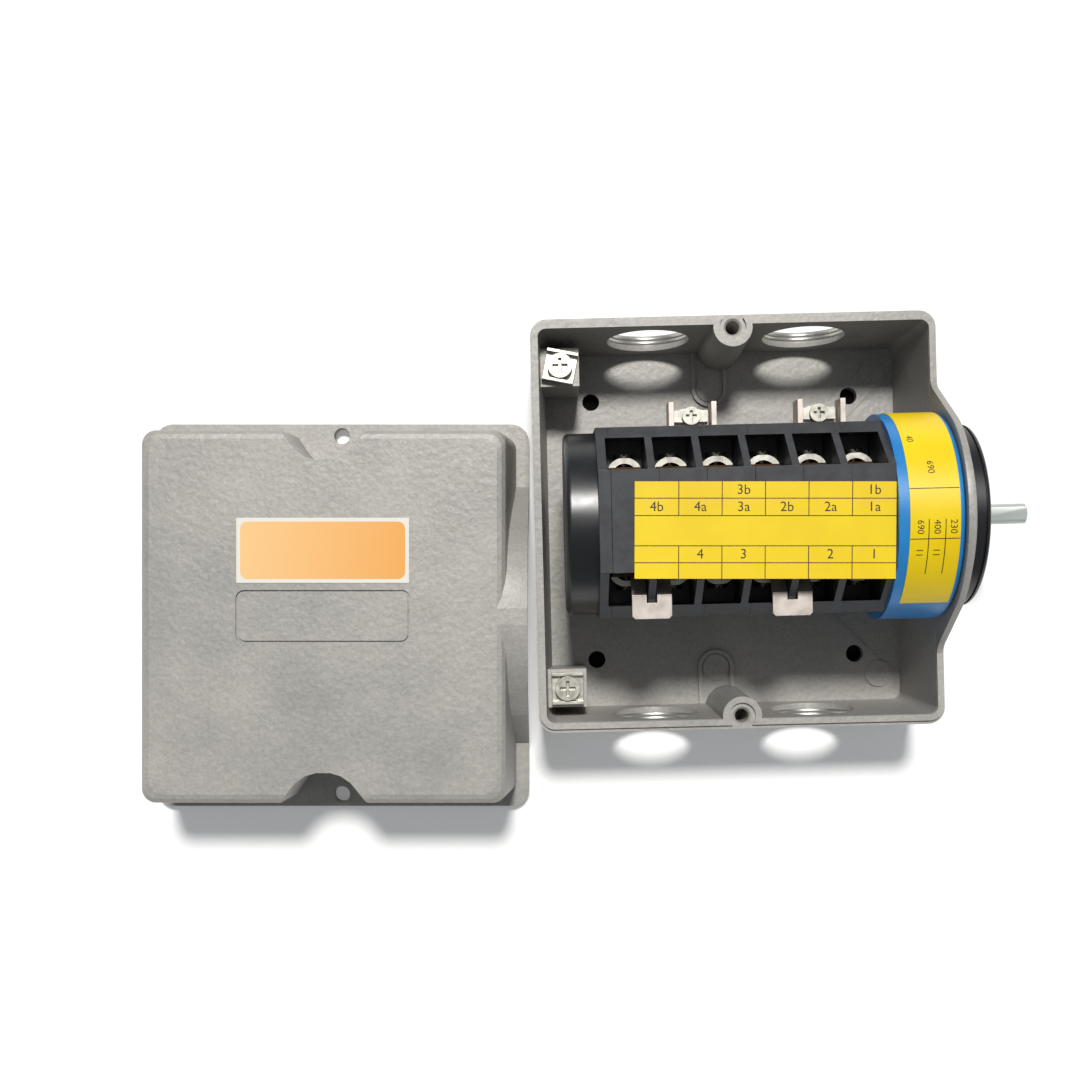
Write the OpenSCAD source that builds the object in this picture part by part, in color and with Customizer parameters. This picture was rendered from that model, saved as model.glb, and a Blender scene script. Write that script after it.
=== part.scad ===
// Manual changeover switch: a six-stage cam switch in a die-cast box, with its cover lying beside it.
// Origin: centre of the four fixing holes, on the underside. +X runs out along the shaft, +Z out of the box.

/* [Base box] */
// Length of the box along the shaft
box_len = 145.2; // [143:0.1:150]
// Width of the box across the shaft
box_wid = 148; // [146:0.1:160]
// Radius of the box's upright corners
corner_r = 6; // [4:0.5:8]
// Height of the rim's lip above the underside
rim_z = 46; // [44:0.1:48]
// Thickness of the floor
floor_t = 4; // [3:0.1:5]
// Thickness of the two end walls at the rim
end_wall_t = 2.7; // [2.5:0.1:4]
// Thickness of the two side walls at the rim
side_wall_t = 3.5; // [3:0.1:4]
// How much each wall thickens from the rim to the floor
wall_draft = 2.5; // [1:0.1:3]
// Width of the raised lip
lip_w = 2.2; // [1.5:0.1:2.4]
// Height of the raised lip over the ledge outside it
lip_h = 1.2; // [0.8:0.1:2]
// Radius of a cable entry, the minor radius of an M32 thread
entry_r = 15.2; // [10:0.1:15.5]
// Distance of a cable entry from the middle of its wall
entry_x = 29; // [26:0.5:36]
// Height of a cable entry's centre
entry_z = 25; // [24:0.5:26]
// Spacing of the fixing holes, the same both ways
fixing_pitch = 100; // [90:1:104]
// Radius of a fixing hole
fixing_r = 3.3; // [2:0.1:4]

/* [Cover screw bosses] */
// Distance of a cover screw from the box's side edge
boss_edge = 4.5; // [4.2:0.1:5]
// Radius of a screw boss at the rim
boss_r = 7; // [6.5:0.1:8]
// Radius of a screw boss at the floor
boss_foot_r = 8.5; // [8:0.1:10]
// Radius of the tapped hole for a cover screw
cover_screw_r = 2.5; // [2:0.1:2.6]
// Depth of the tapped hole
cover_screw_depth = 20; // [10:1:30]

/* [Neck arch] */
// Height of the arch's centre above the underside
arch_z = 52; // [51.5:0.1:52.5]
// Radius of the arch over the neck
arch_r = 37.5; // [37:0.1:39]
// Lean of the arch wall towards the inside, in degrees
arch_lean = 1.5; // [1:0.1:1.6]
// Fillet radius where the arch leaves the rim
arch_fillet = 8; // [4:0.5:12]
// Radius of the machined pad that carries the switch
pad_r = 33.5; // [33:0.1:34]

/* [Earth terminals] */
// Distance of an earth screw from the rear end of the box
earth_end = 10.6; // [10.4:0.1:12]
// Distance of an earth screw from the side of the box
earth_side = 15.2; // [14:0.1:17]
// Width of the cast block under an earth screw
block_w = 14; // [13:0.5:15]
// Height of the cast block under an earth screw
earth_top = 33; // [25:0.5:38]
// Turn of the earth saddle at the far side, in degrees
earth_turn = 12; // [0:1:12]

/* [Switch body] */
// Height of the shaft's centre line above the underside
axis_z = 51; // [50.8:0.1:51.2]
// Roll of the whole switch about its shaft, in degrees
switch_roll = 2; // [0:0.5:6]
// Room between the rear cap and the end wall at the rim
stack_gap = 7.9; // [7.4:0.1:8.1]
// Half the width of a stage
stage_half_w = 32.6; // [32.3:0.1:34]
// Half the height of a stage
stage_half_h = 33; // [32.8:0.1:33.2]
// Half the width of the flat top
flat_half_w = 17; // [16.9:0.1:17.4]
// Half the height of the upright side face
side_half_h = 14; // [13.6:0.1:14.4]
// Thickness of the rib between two terminal windows
rib_t = 2.5; // [2.3:0.1:2.7]
// How far a window starts behind the stage's seam
seam_shift = 1.2; // [0.8:0.1:1.4]
// Outer edge of a terminal window, from the middle
window_y = 28.5; // [28.3:0.1:28.9]
// Thickness of the end plate
end_plate_t = 4.3; // [3.5:0.1:5]
// Radius of the rear cap
cap_r = 31.8; // [30:0.1:32]
// Length of the rear cap
cap_len = 11; // [9:0.5:13]
// Thickness of the rear cap's walls
cap_wall = 2.4; // [1.5:0.1:3]
// Radius of the front ring
ring_r = 36; // [35:0.1:36.2]
// Length of the front ring along the shaft
ring_len = 21.8; // [21.6:0.1:22.2]
// Thickness of the end wall that the front ring stands on
neck_wall_t = 3.9; // [3.7:0.1:4.1]
// Radius of the front disc
disc_r = 31.8; // [31:0.1:32]
// Thickness of the front disc outside the wall
disc_t = 5; // [4:0.1:7]
// Thickness of a label
label_t = 0.25; // [0.1:0.05:0.3]

/* [Rotor and contacts] */
// Width across the flats of the square shaft
shaft_w = 7; // [6:0.1:7]
// Radius of the shaft's round journal in the neck
journal_r = 5; // [4.9:0.1:6]
// Length of the shaft outside the front disc
shaft_out = 22.1; // [12:0.1:42]
// Chamfer along the shaft's edges
shaft_chamfer = 1.1; // [0.5:0.1:1.2]
// Mean radius of a cam
cam_r = 11.5; // [11.4:0.1:11.6]
// Lift of a cam over one throw
cam_lift = 2.2; // [1.8:0.1:2.3]
// Angle of one throw of the shaft, in degrees
throw_deg = 60; // [45:1:90]
// Thickness of a fixed contact
contact_t = 1.5; // [1:0.1:1.6]
// Thickness of a contact bridge
bridge_t = 1.5; // [1:0.1:1.8]
// Open gap between contact tips
open_gap = 2.4; // [2.3:0.05:2.5]
// Radius of a terminal screw's thread
terminal_screw_r = 2; // [1.5:0.1:2.1]
// Radius of a terminal screw's head
terminal_head_r = 3.5; // [3:0.1:3.8]

/* [Link plates] */
// Half the width of a link clip
clip_half = 6.75; // [6:0.05:6.9]
// Height of a link clip's tab from the shaft's centre line
clip_z = 21.4; // [21:0.1:23]
// Outer end of a link clip, from the middle
clip_end_y = 32.9; // [31:0.1:35]
// How far a link bracket reaches back over its rib
bracket_back = 4.95; // [4:0.05:5.2]
// Depth of a link bracket's plate below the shaft's centre line
bracket_low = 29.5; // [28.5:0.1:30]
// Outer end of a link bracket's tabs, from the middle
bracket_end = 44.5; // [43.5:0.1:48]
// Height of a link bracket's tabs
tab_h = 9.5; // [6:0.5:12]

/* [Cover] */
// Height of the cover
cover_h = 48.4; // [47:0.1:50]
// Thickness of the cover's top
cover_top_t = 4; // [3:0.1:4.4]
// Thickness of the flange round the cover
flange_t = 5; // [4:0.1:7]
// Width of the flange outside the cover's wall
flange_w = 5; // [3:0.1:6]
// Lean of the cover's walls over their height
cover_draft = 2.4; // [1:0.1:3]
// Thickness of the cover's walls
cover_wall_t = 3.6; // [3:0.1:5]
// Half-width of a screw notch
notch_half_w = 17; // [13:0.5:20]
// Depth of a screw notch from the wall above the flange
notch_depth = 13.4; // [12:0.1:15]
// Length of the recessed name place, left bare
plate_len = 62; // [40:1:80]
// Width of the recessed name place
plate_wid = 18.8; // [10:0.1:24]
// Length of the rating label, left bare
rating_len = 61.3; // [40:0.1:80]
// Width of the rating label
rating_wid = 23.1; // [15:0.1:30]
// Distance of the rating label from the cover's centre
rating_y = 23.5; // [22:0.1:30]
// Space between the cover and the base where they lie
cover_gap = 3.3; // [2.5:0.1:20]
// Where the cover lies along the base's side, from the base's middle
cover_y = -30.3; // [-50:0.1:50]
// Turn of the cover as it lies, in degrees
cover_turn = -1.4; // [-1.4:0.1:1.4]

/* [Hidden] */
$fn = 64;
hull_fn = 32;
over = 0.6;
fit = 0.05;
gap = 0.3;
slack = 0.1;
copies = 6;

// Base box, worked out
ledge_z = rim_z - lip_h;
boss_y = box_wid / 2 - boss_edge;
cav_half_x = box_len / 2 - end_wall_t;
cav_half_y = box_wid / 2 - side_wall_t;
cav_r = 3;
screw_mouth = 0.8;
mouth_r = cover_screw_r + screw_mouth;
floor_pad_r = 5;
floor_pad_h = 0.8;
floor_pad_end = 13.6;
floor_pad_x = box_len / 2 - floor_pad_end;
floor_pad_side = 16;
floor_pad_y = box_wid / 2 - floor_pad_side;
mid_pad_x = 4;
mid_pad_side = 20;
mid_pad_y = box_wid / 2 - mid_pad_side;
ridge_r = 6.8;
ridge_t = 1.4;
ridge_h = 1.4;
band_w = 9;
band_h = 0.5;

// Neck, worked out
arch_lean_deg = 60;
pad_proud = 0.4;
pad_out_x = box_len / 2 + pad_proud;
spigot_r = 11.7;
spigot_len = 7;
gasket_t = 0.5;
disc_x = pad_out_x + gasket_t;
disc_groove = 0.8;
disc_round = 1.4;
disc_groove_in = 2.75;
disc_groove_x = disc_x + disc_groove_in;
neck_screw_r = 2;
neck_screw_head_r = 3.8;
neck_screw_head_h = 2.2;
neck_screw_pcd_r = 23;
neck_screw_reach = 4;
journal_in = 4;
seal_w = 2;
seal_depth = 2.6;

// Rear cap, worked out
cap_round = 2.2;

// Front ring, worked out
ring_face_x = box_len / 2 - neck_wall_t;
ring_x = ring_face_x - ring_len;
stage_x = stack_gap + cap_len + end_plate_t - cav_half_x;
window_start = stage_x - seam_shift;
stage_pitch = (ring_x - window_start) / copies;
window_len = stage_pitch - rib_t;
ring_wall_t = 4.7;
ring_cav_r = 31;
ring_round = 1.6;
ring_wall_x = ring_face_x - ring_wall_t;
tie_y = 25;
tie_r = 2;
tie_head_r = 3.6;
tie_head_h = 2.6;
tie_boss_r = 4.6;
ring_label_gap = 3.4;
ring_label_x = ring_x + ring_label_gap;
ring_label_len = 16.5;
ring_label_from_deg = -102;
ring_label_to_deg = 55;

// Index mechanism, worked out
star_r = 13;
star_notch = 0.6;
star_t = 6;
star_gap = 5;
star_x = ring_x + star_gap;
star_notches = 6;
roller_r = 3;
guide_t = 3;
guide_end = 1;
journal_x = ring_wall_x - journal_in;
spring_foot = star_r + gap + 2 * roller_r;
spring_len = sqrt(pow(ring_cav_r, 2) - pow(roller_r, 2)) - spring_foot;

// Stage, worked out
roof_t = 2;
cam_room_r = 15;
room_half_w = 15.5;
room_floor = 17.2;
guide_half_w = 4.3;
pocket_floor = 4.5;
hub_r = 8.8;
run = 0.08;
hub_bore_r = hub_r + run;
terminal_z = 10.5;
driver_r = 2.8;
pilot_depth = 4.5;
label_turn = -1.4;
label_back = 8.5;
label_front = 0.5;
label_y = -4.05;
label_half_w = 15.95;
label_half_len = (ring_x - label_front - window_start - label_back) / 2;
label_mid_x = ring_x - label_front - label_half_len;

// Contacts, worked out
contact_side = 1.65;
contact_w = window_len - 2 * contact_side;
contact_in = 8.8;
tip_y = 11;
tip_r = 2;
tip_h = 0.6;
contact_top = room_floor + contact_t;
fixed_tip_z = contact_top + tip_h;
bridge_tip_z = fixed_tip_z + open_gap;
bridge_z = bridge_tip_z + tip_h;
bridge_half = 13;
bridge_w = 7;
plunger_half_w = guide_half_w - gap;
nose_r = 1.8;
nose_z = cam_r + gap + nose_r;
spring_r = 3.8;
spring_wall = 0.9;
saddle_in = 3.35;
saddle_half = window_len / 2 - saddle_in;
saddle_side = 1.35;
saddle_rise = 1.5;
saddle_t = 2;
saddle_h = 10;
saddle_r = (pow(saddle_half, 2) + pow(saddle_rise, 2)) / (2 * saddle_rise);
plate_y = flat_half_w + contact_t;
apex_y = plate_y + saddle_rise + saddle_t;
saddle_edge_z = terminal_z + saddle_h / 2 + slack;
head_t = 1.2;
slot_w = 0.9;
slot_depth = 0.6;

// Links, worked out
link_t = 1;
link_slot_half = 1.7;
link_chamfer = 1;
clip_slot_end = 27.4;
clip_bend_y = 24.8;
clip_foot_h = 1;
bracket_side = 1.8;
bracket_w = stage_pitch - rib_t / 2 - bracket_side + bracket_back;
bracket_shift = bracket_w / 2 - bracket_back;
bracket_t = 1.1;
bracket_slot_end = 22.6;
bracket_flat_end = 43;
bracket_end_r = 14;
tab_t = 2;
tab_y = 34.5;
bracket_screw_y = 39.8;
bracket_head_r = 3.35;
bracket_head_h = 1.9;
bracket_plate_t = 1.1;
bracket_plate_w = 12.8;
bracket_plate_len = 4.4;
wire_gap = 0.9;
bracket_reach = 6;

// Cams and shaft, worked out
cam_side = 2.65;
cam_t = window_len - 2 * cam_side;
cam_steps = 72;
shaft_tip_x = disc_x + disc_t + shaft_out;
hub_back_x = stage_x - end_plate_t - gap;
washer_r = 11;
washer_t = 1;
end_screw_r = 2;
end_head_r = 3.5;
end_head_h = 2.4;
end_screw_len = 12;

// Earth terminals, worked out
earth_x = box_len / 2 - earth_end;
earth_y = box_wid / 2 - earth_side;
earth_saddle_w = 11.6;
earth_saddle_t = 1.2;
earth_edge_h = 2.2;
earth_screw_r = 2.5;
earth_head_r = 4.5;
earth_head_h = 3;
earth_reach = 12;
cross_w = 1.1;
cross_depth = 1.4;
cross_share = 0.6;

// Cover, worked out
cover_x = -(box_len + cover_gap);
cover_round = 3.4;
flange_r = corner_r + 1;
cover_body_r = 5;
plate_depth = 0.9;
plate_rim = 0.8;
plate_r = 3;
rating_margin = 1.2;
saddle_over = 5;
arch_clear = 0.4;
seal_groove = 2;
seal_t = 2.4;
closed_arch_z = arch_z - rim_z;
arch_run = 12.6;
arch_start = box_len / 2 - arch_run;
arch_depth = 2.2;
notch_shares = [[0.15, 1], [0.365, 0.92], [0.575, 0.74], [0.72, 0.52], [0.835, 0.32], [0.91, 0.18],
                [0.97, 0.06], [1, 0]];

// Puts a shape drawn round the shaft's centre line in its place in the box
module in_switch() translate([0, 0, axis_z]) rotate([switch_roll, 0, 0]) children();

// Puts a shape drawn on the floor in the place where the cover lies
module in_cover() translate([cover_x, cover_y, 0]) rotate([0, 0, cover_turn]) children();

// Extrudes an outline drawn in Y and Z along X
module along_x(x, len) translate([x, 0, 0]) rotate([90, 0, 90]) linear_extrude(len) children();

// A cylinder along X
module rod_x(x, len, r) translate([x, 0, 0]) rotate([0, 90, 0]) cylinder(h = len, r = r);

// A cylinder along Y
module rod_y(y, len, r) translate([0, y, 0]) rotate([-90, 0, 0]) cylinder(h = len, r = r);

// A cylinder along X whose end has a round of radius c
module rounded_rod_x(x, len, r, c)
    translate([x, 0, 0]) rotate([0, 90, 0]) rotate_extrude() {
        square([r - c, len]);
        square([r, len - c]);
        translate([r - c, len - c]) intersection() {
            circle(c, $fn = hull_fn);
            square(c);
        }
    }

module round_rect(half_x, half_y, r) {
    square([2 * half_x - 2 * r, 2 * half_y], center = true);
    square([2 * half_x, 2 * half_y - 2 * r], center = true);
    for (x = [-1, 1], y = [-1, 1]) translate([x * (half_x - r), y * (half_y - r)]) circle(r);
}

module slab(half_x, half_y, r, z, t) translate([0, 0, z]) linear_extrude(t) round_rect(half_x, half_y, r);

module at_bosses() for (s = [-1, 1]) translate([0, s * boss_y, 0]) children();

module at_corners(x, y) for (i = [-1, 1], j = [-1, 1]) translate([i * x, j * y, 0]) children();

// Cross recess cut in a screw's head, from the face down
module cross_recess(r)
    for (a = [0, 90]) rotate(a)
        translate([-r * cross_share, -cross_w / 2, -cross_depth])
            cube([2 * r * cross_share, cross_w, cross_depth + over]);

// Outline of the arch over the neck: a circle on flanks that spread into the rim
module arch_outline(r, z, base) {
    tangent = [r * sin(arch_lean_deg), z + r * cos(arch_lean_deg)];
    foot = tangent.x + (tangent.y - base) / tan(arch_lean_deg);
    run_out = arch_fillet * tan(arch_lean_deg / 2);
    intersection() {
        translate([0, z]) circle(r);
        translate([-r, base]) square([2 * r, z + r - base]);
    }
    for (s = [0, 1]) mirror([s, 0]) {
        polygon([[0, base], [foot, base], tangent, [0, tangent.y]]);
        difference() {
            polygon([[foot - over, base], [foot + run_out, base], [foot - run_out * cos(arch_lean_deg),
                      base + run_out * sin(arch_lean_deg)]]);
            translate([foot + run_out, base + arch_fillet]) circle(arch_fillet);
        }
    }
}

module box_outline(t) slab(box_len / 2, box_wid / 2, corner_r, 0, t);

module base_box() color("#A9A69E") difference() {
    union() {
        difference() {
            box_outline(ledge_z);
            hull() {
                slab(cav_half_x - wall_draft, cav_half_y - wall_draft, cav_r, floor_t, over);
                slab(cav_half_x, cav_half_y, cav_r, rim_z, over);
            }
        }
        intersection() {
            box_outline(ledge_z);
            at_bosses() cylinder(h = ledge_z, r1 = boss_foot_r, r2 = boss_r);
        }
        translate([0, 0, ledge_z - slack]) linear_extrude(lip_h + slack) difference() {
            round_rect(cav_half_x + lip_w, cav_half_y + lip_w, cav_r + lip_w);
            at_bosses() circle(boss_r - lip_w);
            difference() {
                round_rect(cav_half_x, cav_half_y, cav_r);
                at_bosses() circle(boss_r);
            }
        }
        translate([cav_half_x, 0, rim_z]) rotate([0, -arch_lean, 0])
            along_x(0, lip_w) arch_outline(arch_r, arch_z - rim_z, -over);
        in_switch() rod_x(ring_face_x, pad_out_x - ring_face_x, pad_r);
        for (s = [-1, 1]) earth_block(s);
        for (s = [-1, 1]) {
            for (p = [[floor_pad_x, floor_pad_y], [-mid_pad_x, mid_pad_y]]) translate([p.x, s * p.y, 0])
                cylinder(h = floor_t + floor_pad_h, r = floor_pad_r);
            mirror([0, s < 0 ? 1 : 0, 0]) floor_ridge();
        }
        floor_bands();
    }
    for (x = [-entry_x, entry_x]) translate([x, 0, entry_z]) rod_y(-box_wid, 2 * box_wid, entry_r);
    at_corners(fixing_pitch / 2, fixing_pitch / 2) translate([0, 0, -over])
        cylinder(h = floor_t + 2 * over, r = fixing_r);
    at_bosses() {
        translate([0, 0, ledge_z - cover_screw_depth])
            cylinder(h = cover_screw_depth + over, r = cover_screw_r);
        translate([0, 0, ledge_z - screw_mouth])
            cylinder(h = screw_mouth + over, r1 = cover_screw_r, r2 = mouth_r + over);
    }
    in_switch() {
        rod_x(ring_face_x - wall_draft, box_len, spigot_r + gap);
        at_neck_screws() rod_x(ring_face_x - wall_draft, box_len, neck_screw_r + slack);
        rod_x(ring_face_x - neck_wall_t, neck_wall_t, ring_r + gap);
    }
    for (s = [-1, 1]) translate([-earth_x, s * earth_y, earth_top - earth_reach])
        cylinder(h = earth_reach + over, r = earth_screw_r);
}

// Cast block at the end wall that an earth screw is tapped into
module earth_block(s) translate([-cav_half_x - slack, s * earth_y - block_w / 2, 0])
    cube([cav_half_x + slack - earth_x + block_w / 2, block_w, earth_top]);

// Low ridge in the shape of a U between a floor pad and a screw boss
module floor_ridge() translate([-mid_pad_x, mid_pad_y, 0]) linear_extrude(floor_t + ridge_h) difference() {
    union() {
        circle(ridge_r);
        translate([-ridge_r, 0]) square([2 * ridge_r, cav_half_y - mid_pad_y - wall_draft]);
    }
    circle(ridge_r - ridge_t);
    translate([ridge_t - ridge_r, 0]) square([2 * (ridge_r - ridge_t), cav_half_y]);
}

// Low cast bands across the floor's corners
module floor_bands() intersection() {
    slab(cav_half_x, cav_half_y, cav_r, 0, floor_t + band_h);
    for (i = [-1, 1], j = [-1, 1]) translate([i * floor_pad_x, j * floor_pad_y, 0])
        rotate(i * j * 45) translate([-i * floor_pad_x, -band_w / 2, 0])
            cube([floor_pad_x, band_w, floor_t + band_h]);
}

module at_neck_screws() for (a = [45 : 90 : 315]) rotate([a, 0, 0])
    translate([0, neck_screw_pcd_r, 0]) children();

module earth_saddles() color("#C9C6BC") for (s = [-1, 1])
    translate([-earth_x, s * earth_y, earth_top]) rotate(s > 0 ? -earth_turn : 0) difference() {
        union() {
            translate([-earth_saddle_w / 2, -earth_saddle_w / 2, 0])
                cube([earth_saddle_w, earth_saddle_w, earth_saddle_t]);
            for (e = [-1, 1]) translate([-earth_saddle_w / 2, e * (earth_saddle_w - earth_saddle_t) / 2
                                         - earth_saddle_t / 2, 0])
                cube([earth_saddle_w, earth_saddle_t, earth_edge_h + earth_saddle_t]);
        }
        translate([0, 0, -over]) cylinder(h = earth_saddle_t + 2 * over, r = earth_screw_r + fit);
    }

module earth_screws() color("#D8D5CA") for (s = [-1, 1])
    translate([-earth_x, s * earth_y, earth_top + earth_saddle_t]) difference() {
        union() {
            cylinder(h = earth_head_h, r = earth_head_r);
            translate([0, 0, gap - earth_reach - earth_saddle_t])
                cylinder(h = earth_reach + earth_saddle_t, r = earth_screw_r - fit);
        }
        translate([0, 0, earth_head_h]) cross_recess(earth_head_r);
    }

// Outline of a stage: flat top and bottom, sloped terminal faces, upright sides
module stage_outline() polygon([
    [flat_half_w, stage_half_h], [-flat_half_w, stage_half_h], [-stage_half_w, side_half_h],
    [-stage_half_w, -side_half_h], [-flat_half_w, -stage_half_h], [flat_half_w, -stage_half_h],
    [stage_half_w, -side_half_h], [stage_half_w, side_half_h]]);

// Outline of the hollows in a stage: cam room, contact rooms and the four terminal pockets
module stage_hollow() {
    circle(cam_room_r);
    for (m = [0, 1]) mirror([0, m]) {
        translate([-room_half_w, room_floor]) square([2 * room_half_w, stage_half_h - roof_t - room_floor]);
        translate([-guide_half_w, 0]) square([2 * guide_half_w, room_floor + over]);
        for (n = [0, 1]) mirror([n, 0]) {
            translate([flat_half_w, pocket_floor]) square([window_y - flat_half_w, stage_half_h]);
            translate([room_half_w - over, room_floor])
                square([flat_half_w - room_half_w + 2 * over, contact_t + slack]);
        }
    }
}

module quadrants(flip) for (n = [0, 1]) mirror([0, n, 0]) mirror([0, 0, flip]) children();

module all_quadrants() for (f = [0, 1]) quadrants(f) children();

function window_mid(k) = window_start + k * stage_pitch + window_len / 2;

module stage(k) color("#34363B") in_switch() {
    start = stage_x + k * stage_pitch;
    last = k == copies - 1;
    len = last ? ring_x - start : stage_pitch;
    difference() {
        along_x(start, len) stage_outline();
        along_x(start - over, window_start + k * stage_pitch + window_len - start + over) stage_hollow();
        if (!last) along_x(window_start + (k + 1) * stage_pitch, seam_shift + over) stage_hollow();
        rod_x(start - over, len + 2 * over, hub_bore_r);
        for (s = [-1, 1]) translate([0, s * tie_y, 0]) rod_x(start - over, len + 2 * over, tie_r + slack);
        all_quadrants() translate([window_mid(k), 0, terminal_z]) {
            rod_y(flat_half_w - pilot_depth, pilot_depth + over, terminal_screw_r + fit);
            rod_y(window_y - over, stage_half_w, driver_r);
        }
    }
}

module end_plate() color("#34363B") in_switch() difference() {
    along_x(stage_x - end_plate_t, end_plate_t) stage_outline();
    along_x(window_start, stage_x - window_start + over) stage_hollow();
    rod_x(stage_x - end_plate_t - over, end_plate_t + 2 * over, hub_bore_r);
    for (s = [-1, 1]) translate([0, s * tie_y, 0])
        rod_x(stage_x - end_plate_t - over, end_plate_t + 2 * over, tie_r + slack);
}

module rear_cap() color("#1E1F22") in_switch() mirror([1, 0, 0]) difference() {
    back = end_plate_t - stage_x;
    rounded_rod_x(back, cap_len, cap_r, cap_round);
    rod_x(back - over, cap_len - cap_wall + over, cap_r - cap_wall);
}
module tie_screws() color("#8F8C82") in_switch() for (s = [-1, 1]) translate([0, s * tie_y, 0]) {
    rod_x(stage_x - end_plate_t - tie_head_h, tie_head_h, tie_head_r);
    rod_x(stage_x - end_plate_t - slack, ring_face_x - ring_wall_t - stage_x + end_plate_t, tie_r);
}

module terminal_label() color("#F2D31C") in_switch()
    translate([label_mid_x, label_y, stage_half_h]) rotate([0, 0, label_turn]) linear_extrude(label_t)
        square([2 * label_half_len, 2 * label_half_w], center = true);

module fixed_contacts(flip) color("#B98A4E") in_switch() for (k = [0 : copies - 1])
    translate([window_mid(k), 0, 0]) quadrants(flip) {
        difference() {
            translate([-contact_w / 2, flat_half_w, pocket_floor])
                cube([contact_w, contact_t, contact_top - pocket_floor]);
            translate([0, 0, terminal_z])
                rod_y(flat_half_w - over, contact_t + 2 * over, terminal_screw_r + fit);
        }
        translate([-contact_w / 2, contact_in, room_floor])
            cube([contact_w, plate_y - contact_in, contact_t]);
        translate([0, tip_y, contact_top]) cylinder(h = tip_h, r = tip_r);
    }

module terminal_saddles(flip) color("#D9D6CC") in_switch() for (k = [0 : copies - 1])
    translate([window_mid(k), 0, 0]) quadrants(flip) intersection() {
        translate([0, plate_y + saddle_rise - saddle_r, terminal_z]) difference() {
            translate([0, 0, -saddle_h / 2]) cylinder(h = saddle_h, r = saddle_r + saddle_t);
            translate([0, 0, -saddle_h]) cylinder(h = 2 * saddle_h, r = saddle_r);
            rod_y(0, 2 * saddle_r, terminal_screw_r + slack);
        }
        translate([saddle_side - window_len / 2, plate_y, 0])
            cube([window_len - 2 * saddle_side, saddle_half, 2 * terminal_z]);
    }

module terminal_screws(flip) color("#A8A292") in_switch() for (k = [0 : copies - 1])
    translate([window_mid(k), 0, 0]) quadrants(flip) translate([0, 0, terminal_z]) difference() {
        union() {
            rod_y(flat_half_w - pilot_depth + gap, apex_y + pilot_depth - flat_half_w, terminal_screw_r);
            rod_y(apex_y, head_t, terminal_head_r);
        }
        translate([-slot_w / 2, apex_y + head_t - slot_depth, -terminal_head_r])
            cube([slot_w, slot_depth + over, 2 * terminal_head_r]);
    }

// Places along the shaft of the ribs between windows that carry a link
clip_ribs = [0, 3];
bracket_ribs = [1, 4];
function rib_mid(k) = window_start + k * stage_pitch + (window_len + stage_pitch) / 2;

module link_clips() color("#DEDBD2") in_switch() for (k = clip_ribs) translate([rib_mid(k), 0, 0])
    mirror([0, 1, 0]) difference() {
        intersection() {
            along_x(-clip_half, 2 * clip_half) clip_side();
            linear_extrude(stage_half_h) polygon([
                [-clip_half, plate_y], [clip_half, plate_y],
                [clip_half, clip_end_y - link_chamfer], [clip_half - link_chamfer, clip_end_y],
                [link_chamfer - clip_half, clip_end_y], [-clip_half, clip_end_y - link_chamfer]]);
        }
        translate([-link_slot_half, 0, 0]) cube([2 * link_slot_half, clip_slot_end, stage_half_h]);
    }

// Side view of a link clip: a foot on the saddles, two slanted arms and a level tab
module clip_side() polygon([
    [plate_y, saddle_edge_z], [plate_y + link_t, saddle_edge_z],
    [plate_y + link_t, saddle_edge_z + clip_foot_h],
    [clip_bend_y + link_t / 2, clip_z], [clip_end_y, clip_z], [clip_end_y, clip_z + link_t],
    [clip_bend_y, clip_z + link_t], [plate_y, saddle_edge_z + clip_foot_h + link_t / 2]]);

module link_brackets() color("#DEDBD2") in_switch() for (k = bracket_ribs) translate([rib_mid(k), 0, 0])
    mirror([0, 0, 1]) difference() {
        translate([bracket_shift, 0, 0]) {
            translate([-bracket_w / 2, plate_y, saddle_edge_z])
                cube([bracket_w, bracket_t, bracket_low - saddle_edge_z]);
            translate([0, 0, bracket_low - bracket_t]) linear_extrude(bracket_t) intersection() {
                translate([-bracket_w / 2, plate_y]) square([bracket_w, bracket_flat_end - plate_y]);
                union() {
                    translate([0, bracket_flat_end - bracket_end_r]) circle(bracket_end_r);
                    translate([-bracket_w / 2, plate_y])
                        square([bracket_w, bracket_flat_end - bracket_end_r - plate_y]);
                }
            }
            for (s = [-1, 1])
                translate([s * (bracket_w - tab_t) / 2 - tab_t / 2, tab_y, bracket_low - tab_h])
                    cube([tab_t, bracket_end - tab_y, tab_h]);
        }
        translate([-link_slot_half, 0, 0]) cube([2 * link_slot_half, bracket_slot_end, stage_half_h]);
        translate([bracket_shift, bracket_screw_y, bracket_low - 2 * bracket_t])
            cylinder(h = 3 * bracket_t, r = terminal_screw_r + fit);
    }

// Puts a shape on top of a link bracket's plate, at its screw
module on_brackets() in_switch() for (k = bracket_ribs)
    translate([rib_mid(k) + bracket_shift, bracket_screw_y, bracket_t - bracket_low]) children();

module bracket_saddles() color("#D9D6CC") on_brackets() difference() {
    union() {
        translate([-bracket_plate_w / 2, -bracket_plate_len / 2, wire_gap])
            cube([bracket_plate_w, bracket_plate_len, bracket_plate_t]);
        for (s = [-1, 1])
            translate([s * (bracket_plate_w - bracket_plate_t) / 2 - bracket_plate_t / 2,
                       -bracket_plate_len / 2, 0])
                cube([bracket_plate_t, bracket_plate_len, wire_gap + bracket_plate_t]);
    }
    cylinder(h = 2 * (wire_gap + bracket_plate_t), r = terminal_screw_r + fit);
}

module bracket_screws() color("#D8D5CA") on_brackets() translate([0, 0, wire_gap + bracket_plate_t])
    difference() {
        union() {
            cylinder(h = bracket_head_h, r = bracket_head_r);
            translate([0, 0, -bracket_reach]) cylinder(h = bracket_reach + slack, r = terminal_screw_r);
        }
        translate([0, 0, bracket_head_h]) cross_recess(bracket_head_r);
    }

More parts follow.
